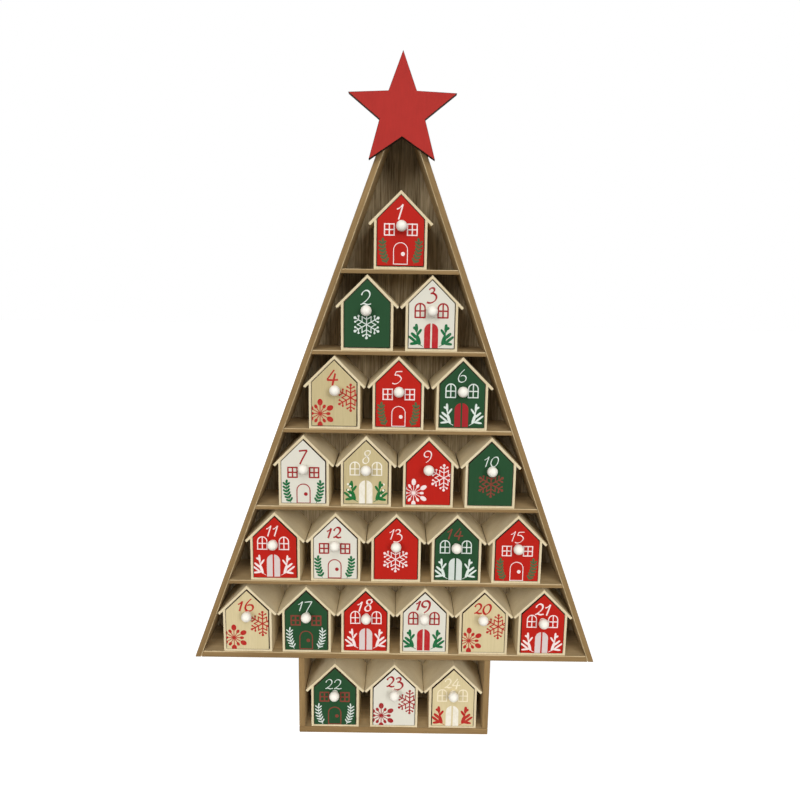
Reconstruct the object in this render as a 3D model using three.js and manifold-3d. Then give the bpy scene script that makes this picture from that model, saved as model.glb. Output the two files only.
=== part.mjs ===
// Wooden advent calendar: a tree shaped cabinet on a trunk base, with 24 little house drawers and a star.
// Millimetres, +Z up. X runs to the right and Y to the back. The origin is the middle of the base's underside.
import * as THREE from 'three';
import { mergeVertices } from 'three/addons/utils/BufferGeometryUtils.js';
import Module from 'manifold-3d';

const wasm = await Module();
wasm.setup();

// Board thicknesses
const sideBoardThickness = 5.9;
const shelfThickness = 4.4;
const treeFloorThickness = 6.75;
const baseSideThickness = 6.35;
const baseBottomThickness = 6.8;
const backPanelThickness = 3;
const starThickness = 8;
const housePlyThickness = 2.5;
const drawerFrontThickness = 3;
const trayPlyThickness = 2.5;

// Case depth, from the front edges of the boards to the back panel
const boardDepth = 55;

// One house, measured outside: its walls, its ridge above its underside, and its setback in the case
const houseWidth = 50;
const ridgeHeight = 72.25;
const roofPitch = THREE.MathUtils.degToRad(45);
const houseSetback = 1.2;

// Eaves past the walls: the roofs in the base are a little wider than those in the tree
const treeEaveReach = 5.4;
const baseEaveReach = 5.95;

// Gap between neighbouring eaves in each row
const baseEaveGap = 0.25;
const sixHouseEaveGap = 0.22;
const fiveHouseEaveGap = 0.53;
const fourHouseEaveGap = 1.13;
const threeHouseEaveGap = 1.45;
const twoHouseEaveGap = 1;

// Headroom between the ridges of each row and the board over them
const baseHeadroom = 6.3;
const sixHouseHeadroom = 2.65;
const fiveHouseHeadroom = 3.05;
const fourHouseHeadroom = 2.65;
const threeHouseHeadroom = 0.75;
const twoHouseHeadroom = 0.65;

// Rows from the base upwards; the single house has no neighbour and no board over it
const rows = [
  { houses: 3, eaveReach: baseEaveReach, eaveGap: baseEaveGap, headroom: baseHeadroom },
  { houses: 6, eaveReach: treeEaveReach, eaveGap: sixHouseEaveGap, headroom: sixHouseHeadroom },
  { houses: 5, eaveReach: treeEaveReach, eaveGap: fiveHouseEaveGap, headroom: fiveHouseHeadroom },
  { houses: 4, eaveReach: treeEaveReach, eaveGap: fourHouseEaveGap, headroom: fourHouseHeadroom },
  { houses: 3, eaveReach: treeEaveReach, eaveGap: threeHouseEaveGap, headroom: threeHouseHeadroom },
  { houses: 2, eaveReach: treeEaveReach, eaveGap: twoHouseEaveGap, headroom: twoHouseHeadroom },
  { houses: 1, eaveReach: treeEaveReach, eaveGap: 0, headroom: 0 },
];

// Space between the outermost eaves and the case
const baseEaveClearance = 0.56;
const lowestEaveClearance = 0.65;
const highestEaveClearance = 9.25;

// Drawer: its running gap in the house, how far its front stands proud, and its tray
const runningGap = 0.4;
const frontProud = 1.5;
const rearGap = 1;
const trayBelowShoulder = 11;

// Turned knob on each drawer front
const knobHeight = 39.8;
const knobRadius = 5.2;
const knobNeckRadius = 2.8;
const knobNeckLength = 2.6;
const knobTenon = 1.5;
const knobSides = 16;
const knobRings = 8;

// Knob holes are drilled by hand: how far each knob stands right of and above its usual place, from door 1
const knobOffsets = [
  [0.8, -0.4],
  [-0.6, -1.2], [0.1, -1],
  [1, -0.6], [0.6, -1.2], [0, -0.2],
  [0.5, 0], [0.2, -0.4], [0, 0.8], [0.5, 0.3],
  [-0.9, 1], [-0.1, 0.6], [0, 0.5], [-0.7, 0], [0, -0.1],
  [1, 2.7], [0.7, 2.6], [0.8, 2], [-0.8, 2.6], [-1.5, 2.2], [-0.7, -0.5],
  [0, 0.5], [0.5, 2], [-0.3, 1.7],
];

// Star on the tip of the tree
const starTipRadius = 51.3;
const starNotchRadius = 21.6;
const starCentreBelowTip = 28.2;
const starPoints = 5;

// Glued joint between a shelf's end and a side board
const glueGap = 0.2;

// Finishes
const finishes = {
  caseWood: { color: 0x96784f, roughness: 0.7 },
  backPly: { color: 0x6b5a42, roughness: 0.8 },
  housePly: { color: 0xebdebe, roughness: 0.7 },
  red: { color: 0xc42a28, roughness: 0.6 },
  green: { color: 0x2d5037, roughness: 0.6 },
  white: { color: 0xe8e4dc, roughness: 0.6 },
  natural: { color: 0xd7c396, roughness: 0.7 },
  starRed: { color: 0xb83834, roughness: 0.6 },
};

// Paint on each drawer front, from door 1 to door 24
const drawerPaint = [
  'red',
  'green', 'white',
  'natural', 'red', 'green',
  'white', 'natural', 'red', 'green',
  'red', 'white', 'red', 'green', 'red',
  'natural', 'green', 'red', 'white', 'natural', 'red',
  'green', 'white', 'natural',
];

// Planes that the pieces share
const backY = (boardDepth + backPanelThickness) / 2 - backPanelThickness;
const frontY = backY - boardDepth;
const houseFrontY = frontY + houseSetback;
const drawerFaceY = houseFrontY - frontProud;
const drawerRearY = backY - rearGap;

// Measures of one house that follow from the sizes above
const wallHalf = houseWidth / 2;
const innerHalf = wallHalf - housePlyThickness;
const innerRidge = ridgeHeight - housePlyThickness / Math.cos(roofPitch);

// Height of the roof's underside at a distance from the house's middle
function roofUnderside(x) {
  return innerRidge - x * Math.tan(roofPitch);
}

// Lowest corner of the roof's upper side, for the houses of a row
function eaveHalf(row) {
  return wallHalf + rows[row].eaveReach;
}

function eaveTipHeight(row) {
  return ridgeHeight - eaveHalf(row) * Math.tan(roofPitch);
}

// Surface that each row of houses stands on, from the base upwards
const floorHeights = [baseBottomThickness];
for (let row = 1; row < rows.length; row += 1) {
  const board = row === 1 ? treeFloorThickness : shelfThickness;
  floorHeights.push(floorHeights[row - 1] + ridgeHeight + rows[row - 1].headroom + board);
}
const treeUnderside = floorHeights[1] - treeFloorThickness;

// Place of each house across its row
function housePlaces(row) {
  const pitch = 2 * eaveHalf(row) + rows[row].eaveGap;
  const first = -pitch * (rows[row].houses - 1) / 2;
  return Array.from({ length: rows[row].houses }, (unused, i) => first + i * pitch);
}

function outermostEave(row) {
  return housePlaces(row).at(-1) + eaveHalf(row);
}

// The side boards' inner faces pass just outside the eaves of the lowest and the highest tree row
const topRow = rows.length - 1;
const lowX = outermostEave(1) + lowestEaveClearance;
const lowZ = floorHeights[1] + eaveTipHeight(1);
const highX = outermostEave(topRow) + highestEaveClearance;
const highZ = floorHeights[topRow] + eaveTipHeight(topRow);
const treeSlope = (lowX - highX) / (highZ - lowZ);
const sideBoardAcross = sideBoardThickness * Math.hypot(1, treeSlope);

function innerTreeHalf(z) {
  return lowX - (z - lowZ) * treeSlope;
}

const innerTip = lowZ + lowX / treeSlope;
const treeTip = innerTip + sideBoardAcross / treeSlope;
const treeFootHalf = innerTreeHalf(treeUnderside) + sideBoardAcross;

const baseInnerHalf = outermostEave(0) + baseEaveClearance;
const baseHalf = baseInnerHalf + baseSideThickness;

// A front view outline of [x, z] points, with holes, extruded in Y from the front plane to the rear plane
function board(outline, front, rear, holes = []) {
  const shape = new THREE.Shape(outline.map(([x, z]) => new THREE.Vector2(x, z)));
  for (const hole of holes) {
    shape.holes.push(new THREE.Path(hole.map(([x, z]) => new THREE.Vector2(x, z))));
  }
  const geometry = new THREE.ExtrudeGeometry(shape, { depth: rear - front, bevelEnabled: false });
  geometry.rotateX(Math.PI / 2);
  geometry.translate(0, rear, 0);
  return geometry;
}

// Boolean joins and cuts
function toSolid(geometry) {
  const bare = geometry.clone();
  bare.deleteAttribute('normal');
  bare.deleteAttribute('uv');
  const welded = mergeVertices(bare);
  const vertProperties = new Float32Array(welded.attributes.position.array);
  const triVerts = new Uint32Array(welded.index.array);
  return new wasm.Manifold(new wasm.Mesh({ numProp: 3, vertProperties, triVerts }));
}

function toGeometry(solid) {
  const mesh = solid.getMesh();
  const geometry = new THREE.BufferGeometry();
  geometry.setAttribute('position', new THREE.BufferAttribute(mesh.vertProperties, 3));
  geometry.setIndex(new THREE.BufferAttribute(mesh.triVerts, 1));
  geometry.computeVertexNormals();
  return geometry;
}

const calendar = new THREE.Group();

function place(name, geometry, finish) {
  const material = new THREE.MeshStandardMaterial({ ...finishes[finish], metalness: 0 });
  const mesh = new THREE.Mesh(geometry, material);
  mesh.name = name;
  calendar.add(mesh);
}

// Side board, from the tree floor's underside to the mitre at the tip; side is -1 for left and 1 for right
function sideBoard(side) {
  const foot = innerTreeHalf(treeUnderside);
  const outline = [
    [side * foot, treeUnderside],
    [side * treeFootHalf, treeUnderside],
    [0, treeTip],
    [0, innerTip],
  ];
  return board(outline, frontY, backY);
}

// Board between the two side boards, with its ends cut to their slope
function crossBoard(top, thickness) {
  const bottom = top - thickness;
  const topHalf = innerTreeHalf(top) - glueGap;
  const bottomHalf = innerTreeHalf(bottom) - glueGap;
  const outline = [
    [-bottomHalf, bottom],
    [bottomHalf, bottom],
    [topHalf, top],
    [-topHalf, top],
  ];
  return board(outline, frontY, backY);
}

// Trunk of the tree: two sides and a bottom, glued into one open frame under the tree floor
function baseFrame() {
  const floor = floorHeights[0];
  const outline = [
    [-baseHalf, 0],
    [baseHalf, 0],
    [baseHalf, treeUnderside],
    [baseInnerHalf, treeUnderside],
    [baseInnerHalf, floor],
    [-baseInnerHalf, floor],
    [-baseInnerHalf, treeUnderside],
    [-baseHalf, treeUnderside],
  ];
  return board(outline, frontY, backY);
}

function treeBackPanel() {
  const outline = [
    [-treeFootHalf, treeUnderside],
    [treeFootHalf, treeUnderside],
    [0, treeTip],
  ];
  return board(outline, backY, backY + backPanelThickness);
}

function baseBackPanel() {
  const outline = [
    [-baseHalf, 0],
    [baseHalf, 0],
    [baseHalf, treeUnderside],
    [-baseHalf, treeUnderside],
  ];
  return board(outline, backY, backY + backPanelThickness);
}

// Flat star, glued over the front of the tip
function starTopper() {
  const centre = treeTip - starCentreBelowTip;
  const outline = [];
  for (let i = 0; i < 2 * starPoints; i += 1) {
    const radius = i % 2 === 0 ? starTipRadius : starNotchRadius;
    const turn = Math.PI / 2 + i * Math.PI / starPoints;
    outline.push([radius * Math.cos(turn), centre + radius * Math.sin(turn)]);
  }
  return board(outline, frontY - starThickness, frontY);
}

// House: floor, two walls and two roof boards with square cut ends, glued into one open sleeve
function houseSleeve(x, floor, row) {
  const outerShoulder = roofUnderside(wallHalf);
  const acrossEnd = housePlyThickness * Math.sin(roofPitch);
  const downEnd = housePlyThickness * Math.cos(roofPitch);
  const right = [
    [wallHalf, 0],
    [wallHalf, outerShoulder],
    [eaveHalf(row) - acrossEnd, eaveTipHeight(row) - downEnd],
    [eaveHalf(row), eaveTipHeight(row)],
  ];
  const left = right.map(([px, pz]) => [-px, pz]).reverse();
  const outline = [...right, [0, ridgeHeight], ...left];
  const opening = housePentagon(innerHalf, housePlyThickness, innerRidge);
  const at = ([px, pz]) => [x + px, floor + pz];
  return board(outline.map(at), houseFrontY, backY, [opening.map(at)]);
}

// Pentagon of a given half width, from its bottom to its peak, with the roof's pitch
function housePentagon(half, bottom, peak) {
  const shoulder = peak - half * Math.tan(roofPitch);
  return [
    [-half, bottom],
    [half, bottom],
    [half, shoulder],
    [0, peak],
    [-half, shoulder],
  ];
}

// Ball knob on a short neck; its axis points to the front and its tenon sits in the drawer front
function knob(x, z) {
  const ballCentre = knobNeckLength + Math.sqrt(knobRadius ** 2 - knobNeckRadius ** 2);
  const neckAngle = Math.asin(knobNeckRadius / knobRadius);
  const profile = [
    new THREE.Vector2(0, -knobTenon),
    new THREE.Vector2(knobNeckRadius, -knobTenon),
  ];
  for (let i = 0; i <= knobRings; i += 1) {
    const turn = neckAngle + (Math.PI - neckAngle) * i / knobRings;
    const radius = i === knobRings ? 0 : knobRadius * Math.sin(turn);
    profile.push(new THREE.Vector2(radius, ballCentre - knobRadius * Math.cos(turn)));
  }
  const geometry = new THREE.LatheGeometry(profile, knobSides);
  geometry.rotateX(Math.PI);
  geometry.translate(x, drawerFaceY, z);
  return geometry;
}

// Drawer: house shaped front, open topped tray behind it, and the knob, glued into one piece
function drawer(x, floor, [knobRight, knobUp]) {
  const half = innerHalf - runningGap;
  const bottom = housePlyThickness + runningGap;
  const peak = innerRidge - runningGap / Math.cos(roofPitch);
  const trayTop = roofUnderside(innerHalf) - trayBelowShoulder;
  const at = ([px, pz]) => [x + px, floor + pz];
  const frontRearY = drawerFaceY + drawerFrontThickness;
  const front = board(housePentagon(half, bottom, peak).map(at), drawerFaceY, frontRearY);
  const rectangle = (side, low, high) => [[-side, low], [side, low], [side, high], [-side, high]].map(at);
  const block = board(rectangle(half, bottom, trayTop), frontRearY, drawerRearY);
  const inside = board(
    rectangle(half - trayPlyThickness, bottom + trayPlyThickness, ridgeHeight),
    frontRearY,
    drawerRearY - trayPlyThickness,
  );
  const tray = toSolid(block).subtract(toSolid(inside));
  const ball = knob(x + knobRight, floor + knobHeight + knobUp);
  return toGeometry(toSolid(front).add(tray).add(toSolid(ball)));
}

place('side_board_left', sideBoard(-1), 'caseWood');
place('side_board_right', sideBoard(1), 'caseWood');
place('tree_floor', crossBoard(floorHeights[1], treeFloorThickness), 'caseWood');
for (let row = 2; row < rows.length; row += 1) {
  place(`shelf_${rows.length - row}`, crossBoard(floorHeights[row], shelfThickness), 'caseWood');
}
place('base_frame', baseFrame(), 'caseWood');
place('tree_back_panel', treeBackPanel(), 'backPly');
place('base_back_panel', baseBackPanel(), 'backPly');
place('star_topper', starTopper(), 'starRed');

// Doors are numbered from the top row down and from left to right, and the base holds the last three
const rowsInDoorOrder = [...rows.keys()].reverse();
let door = 0;
for (const row of rowsInDoorOrder) {
  for (const x of housePlaces(row)) {
    door += 1;
    const number = String(door).padStart(2, '0');
    place(`house_${number}`, houseSleeve(x, floorHeights[row], row), 'housePly');
    place(`drawer_${number}`, drawer(x, floorHeights[row], knobOffsets[door - 1]), drawerPaint[door - 1]);
  }
}

export default calendar;
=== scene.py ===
import math

import bpy
from mathutils import Matrix, Vector


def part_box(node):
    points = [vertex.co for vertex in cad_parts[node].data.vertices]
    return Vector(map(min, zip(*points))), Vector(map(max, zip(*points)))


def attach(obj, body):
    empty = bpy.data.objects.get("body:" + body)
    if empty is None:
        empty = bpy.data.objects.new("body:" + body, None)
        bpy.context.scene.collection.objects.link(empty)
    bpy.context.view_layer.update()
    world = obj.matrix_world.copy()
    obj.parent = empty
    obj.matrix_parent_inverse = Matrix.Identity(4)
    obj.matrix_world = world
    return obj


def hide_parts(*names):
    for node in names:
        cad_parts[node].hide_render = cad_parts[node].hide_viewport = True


# Wooden advent calendar: a tree shaped cabinet with 24 house drawers. Metres, +Z up, front towards -Y.
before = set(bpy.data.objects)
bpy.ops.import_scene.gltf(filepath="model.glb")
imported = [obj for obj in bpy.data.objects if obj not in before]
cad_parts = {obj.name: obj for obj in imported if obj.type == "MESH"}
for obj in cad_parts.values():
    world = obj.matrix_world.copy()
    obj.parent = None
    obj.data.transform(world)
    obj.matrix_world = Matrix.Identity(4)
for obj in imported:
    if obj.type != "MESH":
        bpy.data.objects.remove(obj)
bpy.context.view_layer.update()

MM = 0.001
DOORS = range(1, 25)

# Boards that the frame holds joined into one solid
HOUSE_WIDTH = 50 * MM
HOUSE_PLY = 2.5 * MM
ROOF_PITCH = math.radians(45)
BASE_SIDE = 6.35 * MM
BASE_BOTTOM = 6.8 * MM
FRONT_PROUD = 1.5 * MM
FRONT_THICKNESS = 3 * MM
TRAY_PLY = 2.5 * MM
TRAY_BELOW_SHOULDER = 11 * MM

# Knob
KNOB_RADIUS = 5.2 * MM
KNOB_NECK_RADIUS = 2.8 * MM
KNOB_NECK_LENGTH = 2.6 * MM
KNOB_TENON = 1.5 * MM

KNOB_SEGMENTS = 40
KNOB_RINGS = 24

# Eased arrises
ARRIS_STEPS = 2
ARRIS_LEAST_ANGLE = math.radians(30)
CASE_ARRIS = 0.8 * MM
HOUSE_ARRIS = 0.2 * MM
FRONT_ARRIS = 0.3 * MM
FRONT_SCORCH = 0.12 * MM
STAR_ARRIS = 0.3 * MM

# Printed ink: how far it sinks into the front, its least coat, and the step between crossing strokes
INK_SUNK = 0.05 * MM
INK_COAT = 0.06 * MM
INK_STEP = 0.006 * MM
INK_STEPS = 12

# Camera, found from the straight edges in the photograph
CAMERA_PLACE = Vector((0.4, -696.45, 478.8)) * MM
CAMERA_DOWN = math.radians(10.08)
CAMERA_ROLL = math.radians(0.85)
CAMERA_YAW = math.radians(0.11)
LENS = 31.36
SENSOR = 36.0


# Selection

def deselect_all():
    bpy.ops.object.select_all(action="DESELECT")


def make_active(piece):
    deselect_all()
    piece.select_set(True)
    bpy.context.view_layer.objects.active = piece


def edit_all(piece):
    make_active(piece)
    bpy.ops.object.mode_set(mode="EDIT")
    bpy.ops.mesh.select_all(action="SELECT")


def leave_edit():
    bpy.ops.object.mode_set(mode="OBJECT")


def rename(piece, name):
    piece.name = name
    piece.data.name = name
    return piece


# Board work

WELD_REACH = 0.001 * MM
FLAT_ENOUGH = math.radians(0.5)


def saw_board(name, outline, front, rear):
    """A flat board sawn to an outline of (x, z) points, from the front plane to the rear plane."""
    deselect_all()
    bpy.ops.mesh.primitive_circle_add(vertices=len(outline), fill_type="NGON")
    board = rename(bpy.context.object, name)
    for vertex, (x, z) in zip(board.data.vertices, outline):
        vertex.co = (x, front, z)
    edit_all(board)
    bpy.ops.mesh.extrude_region_move(TRANSFORM_OT_translate={"value": (0, rear - front, 0)})
    bpy.ops.mesh.select_all(action="SELECT")
    bpy.ops.mesh.normals_make_consistent(inside=False)
    leave_edit()
    return board


def square_board(name, low, high):
    """A board with square ends, between its lowest and its highest corner."""
    outline = [(low[0], low[2]), (high[0], low[2]), (high[0], high[2]), (low[0], high[2])]
    return saw_board(name, outline, low[1], high[1])


def board_from_frame(node):
    """A board with the shape that the frame gives it, its loose triangles merged into whole faces."""
    board = bpy.data.objects.new(f"{node}_board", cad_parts[node].data.copy())
    bpy.context.scene.collection.objects.link(board)
    rename(board, f"{node}_board")
    board.data.materials.clear()
    edit_all(board)
    bpy.ops.mesh.remove_doubles(threshold=WELD_REACH)
    bpy.ops.mesh.dissolve_limited(angle_limit=FLAT_ENOUGH)
    leave_edit()
    return board


def ease_arrises(board, radius):
    make_active(board)
    bpy.ops.object.modifier_add(type="BEVEL")
    bevel = board.modifiers[-1]
    bevel.width = radius
    bevel.segments = ARRIS_STEPS
    bevel.limit_method = "ANGLE"
    bevel.angle_limit = ARRIS_LEAST_ANGLE
    bpy.ops.object.modifier_apply(modifier=bevel.name)
    return board


def join(parts, name):
    deselect_all()
    for part in parts:
        part.select_set(True)
    bpy.context.view_layer.objects.active = parts[0]
    bpy.ops.object.join()
    return rename(bpy.context.object, name)


def copy_to(template, name, offset):
    """A copy with a mesh of its own, moved in its mesh so that its object stays at the origin."""
    piece = bpy.data.objects.new(name, template.data.copy())
    bpy.context.scene.collection.objects.link(piece)
    rename(piece, name)
    piece.data.transform(Matrix.Translation(offset))
    return piece


def finish_piece(piece, materials, body, slot, *nodes):
    """Gives a finished piece its materials and body, and hides the frame nodes that it stands for; slot is
    not used.
    """
    piece.data.materials.clear()
    for material in materials:
        piece.data.materials.append(material)
    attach(piece, body)
    if nodes:
        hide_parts(*nodes)


# Node work

def srgb(red, green, blue):
    """A screen colour from 0 to 255 as the linear colour that shaders take."""
    def linear(value):
        share = value / 255
        return share / 12.92 if share <= 0.04045 else ((share + 0.055) / 1.055) ** 2.4
    return (linear(red), linear(green), linear(blue), 1.0)


class Nodes:
    """Adds and joins the nodes of one tree."""

    def __init__(self, tree):
        self.tree = tree

    def add(self, kind, inputs=None, **settings):
        node = self.tree.nodes.new(kind)
        for name, value in settings.items():
            setattr(node, name, value)
        for name, value in (inputs or {}).items():
            self.feed(node.inputs[name], value)
        return node

    def feed(self, socket, value):
        if isinstance(value, bpy.types.NodeSocket):
            self.tree.links.new(value, socket)
        else:
            socket.default_value = value

    def math(self, operation, first, second=0.0, clamp=False):
        node = self.add("ShaderNodeMath", {0: first, 1: second}, operation=operation, use_clamp=clamp)
        return node.outputs[0]

    def mix(self, factor, first, second):
        node = self.add("ShaderNodeMix", data_type="RGBA", blend_type="MIX")
        colours = [socket for socket in node.inputs if socket.type == "RGBA"]
        self.feed(node.inputs[0], factor)
        self.feed(colours[0], first)
        self.feed(colours[1], second)
        return next(socket for socket in node.outputs if socket.type == "RGBA")

    def noise(self, vector, stretch, detail=2.0, roughness=0.5, distortion=0.0):
        """Noise whose cells are as many to the metre along each axis as stretch says."""
        mapped = self.add("ShaderNodeMapping", {"Vector": vector, "Scale": stretch})
        settings = {
            "Vector": mapped.outputs[0],
            "Scale": 1.0,
            "Detail": detail,
            "Roughness": roughness,
            "Distortion": distortion,
        }
        return self.add("ShaderNodeTexNoise", settings).outputs["Fac"]

    def spread(self, value, low, high, to_low=0.0, to_high=1.0):
        settings = {"Value": value, "From Min": low, "From Max": high, "To Min": to_low, "To Max": to_high}
        return self.add("ShaderNodeMapRange", settings, clamp=True).outputs[0]


def new_group(name, inputs, outputs):
    """A node group with its sockets. inputs has a kind and a value for each name."""
    group = bpy.data.node_groups.new(name, "ShaderNodeTree")
    for socket_name, (kind, value) in inputs.items():
        socket = group.interface.new_socket(socket_name, in_out="INPUT", socket_type=f"NodeSocket{kind}")
        if value is not None:
            socket.default_value = value
    for socket_name, kind in outputs.items():
        group.interface.new_socket(socket_name, in_out="OUTPUT", socket_type=f"NodeSocket{kind}")
    nodes = Nodes(group)
    source = nodes.add("NodeGroupInput").outputs
    sink = nodes.add("NodeGroupOutput").inputs
    return group, nodes, source, sink


SHEEN = 0.14
FINISH_OUTPUTS = {"Color": "Color", "Roughness": "Float", "Height": "Float"}
GREY = (0.5, 0.5, 0.5, 1.0)
BLACK = (0.0, 0.0, 0.0, 1)
PORE_COLOUR = (0.02, 0.013, 0.008, 1)

# Noise cells to the metre along each axis; wood has its grain along X, paint has it upright
STREAK_CELLS = (5, 75, 75)
FIBRE_CELLS = (30, 700, 700)
PORE_CELLS = (70, 1900, 1900)
CLOUD_CELLS = (120, 120, 70)
RAISED_FIBRE_CELLS = (900, 900, 90)
PAINT_SPECK_CELLS = (1400, 1400, 1400)
INK_PATCH_CELLS = (500, 500, 260)
INK_SPECK_CELLS = (2200, 2200, 2200)


def make_wood_grain():
    """Streaks, fibres and pores along X. Streaks and fibres shift between the two colours."""
    inputs = {
        "Vector": ("Vector", None),
        "Light": ("Color", GREY),
        "Dark": ("Color", GREY),
        "Streaks": ("Float", 1.0),
        "Fibres": ("Float", 0.6),
        "Pores": ("Float", 0.3),
        "Gloss": ("Float", 0.7),
    }
    group, nodes, source, sink = new_group("wood_grain", inputs, FINISH_OUTPUTS)
    vector = source["Vector"]
    streak = nodes.noise(vector, STREAK_CELLS, detail=4.0, roughness=0.6, distortion=0.5)
    fibre = nodes.noise(vector, FIBRE_CELLS, detail=3.0, roughness=0.6)
    pore = nodes.spread(nodes.noise(vector, PORE_CELLS, detail=1.0), 0.6, 0.72)
    streak_shift = nodes.math("MULTIPLY", nodes.math("SUBTRACT", streak, 0.5), source["Streaks"])
    fibre_shift = nodes.math("MULTIPLY", nodes.math("SUBTRACT", fibre, 0.5), source["Fibres"])
    shade = nodes.math("ADD", nodes.math("ADD", streak_shift, 0.5), fibre_shift, clamp=True)
    pore_depth = nodes.math("MULTIPLY", pore, source["Pores"])
    ground = nodes.mix(shade, source["Dark"], source["Light"])
    in_pores = nodes.mix(0.75, ground, PORE_COLOUR)
    nodes.feed(sink["Color"], nodes.mix(pore_depth, ground, in_pores))
    roughening = nodes.math("MULTIPLY", fibre_shift, 0.3)
    nodes.feed(sink["Roughness"], nodes.math("ADD", source["Gloss"], roughening))
    nodes.feed(sink["Height"], nodes.math("SUBTRACT", fibre, pore_depth))
    return group


def make_matt_paint():
    """Matt paint on board: a soft mottle, and fibres of the board that stand up under it."""
    inputs = {
        "Vector": ("Vector", None),
        "Paint": ("Color", GREY),
        "Mottle": ("Float", 0.12),
        "Gloss": ("Float", 0.55),
    }
    group, nodes, source, sink = new_group("matt_paint", inputs, FINISH_OUTPUTS)
    vector = source["Vector"]
    cloud = nodes.noise(vector, CLOUD_CELLS, detail=3.0)
    fibre = nodes.noise(vector, RAISED_FIBRE_CELLS, detail=2.0, roughness=0.6)
    speck = nodes.noise(vector, PAINT_SPECK_CELLS, detail=2.0)
    shift = nodes.math("ADD", nodes.math("MULTIPLY", cloud, 0.5), nodes.math("MULTIPLY", fibre, 0.5))
    amount = nodes.math("MULTIPLY", nodes.spread(shift, 0.35, 0.65), source["Mottle"])
    deep = nodes.mix(0.55, source["Paint"], BLACK)
    nodes.feed(sink["Color"], nodes.mix(amount, source["Paint"], deep))
    nodes.feed(sink["Roughness"], nodes.math("ADD", source["Gloss"], nodes.math("MULTIPLY", speck, 0.12)))
    nodes.feed(sink["Height"], nodes.math("ADD", fibre, nodes.math("MULTIPLY", speck, 0.5)))
    return group


def make_thin_ink():
    """Screen printed ink, thin enough in places for the ground under it to show."""
    inputs = {
        "Vector": ("Vector", None),
        "Ink": ("Color", GREY),
        "Ground": ("Color", GREY),
        "Thinness": ("Float", 0.3),
    }
    group, nodes, source, sink = new_group("thin_ink", inputs, FINISH_OUTPUTS)
    vector = source["Vector"]
    patch = nodes.spread(nodes.noise(vector, INK_PATCH_CELLS, detail=2.0), 0.42, 0.7)
    speck = nodes.noise(vector, INK_SPECK_CELLS, detail=1.0)
    bare = nodes.math("MULTIPLY", patch, source["Thinness"])
    nodes.feed(sink["Color"], nodes.mix(bare, source["Ink"], source["Ground"]))
    nodes.feed(sink["Roughness"], nodes.math("ADD", 0.5, nodes.math("MULTIPLY", speck, 0.15)))
    nodes.feed(sink["Height"], speck)
    return group


BUMP_STRENGTH = 0.6


def finished_material(name, group, values, bump, turn=0.0, clear_coat=0.0):
    """A material that a finish group drives. turn tips the grain from level, in the front view."""
    material = bpy.data.materials.new(name)
    material.use_nodes = True
    nodes = Nodes(material.node_tree)
    shader = material.node_tree.nodes["Principled BSDF"]
    place = nodes.add("ShaderNodeTexCoord").outputs["Object"]
    turned = nodes.add("ShaderNodeMapping", {"Vector": place, "Rotation": (0, turn, 0)}).outputs[0]
    finish = nodes.add("ShaderNodeGroup", node_tree=group)
    nodes.feed(finish.inputs["Vector"], turned)
    for socket, value in values.items():
        nodes.feed(finish.inputs[socket], value)
    settings = {"Height": finish.outputs["Height"], "Strength": BUMP_STRENGTH, "Distance": bump}
    relief = nodes.add("ShaderNodeBump", settings)
    nodes.feed(shader.inputs["Base Color"], finish.outputs["Color"])
    nodes.feed(shader.inputs["Roughness"], finish.outputs["Roughness"])
    nodes.feed(shader.inputs["Normal"], relief.outputs[0])
    shader.inputs["Specular IOR Level"].default_value = SHEEN
    shader.inputs["Coat Weight"].default_value = clear_coat
    return material


WOOD_GRAIN = make_wood_grain()
MATT_PAINT = make_matt_paint()
THIN_INK = make_thin_ink()

# Which way a board's grain runs in the front view, as a turn from level
LEVEL = 0.0
UPRIGHT = math.radians(90)

# How deep the relief of each kind of surface is
PANEL_BUMP = 0.2 * MM
BOARD_BUMP = 0.12 * MM
FINE_WOOD_BUMP = 0.05 * MM
KNOB_BUMP = 0.04 * MM
PAINT_BUMP = 0.03 * MM
INK_BUMP = 0.02 * MM


def wood(name, light, dark, bump, turn=LEVEL, *, streaks, fibres, pores, gloss):
    values = {
        "Light": light,
        "Dark": dark,
        "Streaks": streaks,
        "Fibres": fibres,
        "Pores": pores,
        "Gloss": gloss,
    }
    return finished_material(name, WOOD_GRAIN, values, bump, turn)


def stained_wood(name, turn, light, dark):
    return wood(name, light, dark, BOARD_BUMP, turn, streaks=1.3, fibres=1.0, pores=0.35, gloss=0.62)


def case_woods(direction, turn):
    """The sawn edges of boards whose grain runs at one turn, and a lighter copy of the same stain for their
    other faces, which paints light onto them.
    """
    sawn = stained_wood(f"sawn_wood_{direction}", turn, srgb(161, 132, 89), srgb(120, 94, 58))
    painted_lit = stained_wood(f"painted_lit_wood_{direction}", turn, srgb(196, 171, 130), srgb(152, 128, 90))
    return sawn, painted_lit


def back_ply():
    light = srgb(206, 188, 154)
    dark = srgb(110, 92, 64)
    return wood("back_ply", light, dark, PANEL_BUMP, UPRIGHT, streaks=1.4, fibres=1.9, pores=0.5, gloss=0.7)


def highlit_arris():
    """Edges of the cabinet's boards in a lighter stain: a painted highlight on the arrises that face the
    light.
    """
    light = srgb(224, 203, 162)
    dark = srgb(168, 142, 100)
    return wood("highlit_arris", light, dark, FINE_WOOD_BUMP, streaks=2.0, fibres=1.2, pores=0.2, gloss=0.55)


def pale_ply(name, light, dark):
    return wood(name, light, dark, FINE_WOOD_BUMP, UPRIGHT, streaks=0.9, fibres=0.8, pores=0.12, gloss=0.66)


def scorched_edge():
    light = srgb(62, 38, 24)
    dark = srgb(28, 15, 9)
    return wood("scorched_edge", light, dark, FINE_WOOD_BUMP, streaks=1.6, fibres=1.4, pores=0.4, gloss=0.8)


def knob_paint():
    values = {"Paint": srgb(253, 248, 235), "Mottle": 0.1, "Gloss": 0.4}
    return finished_material("knob_paint", MATT_PAINT, values, KNOB_BUMP, clear_coat=0.1)


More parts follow.
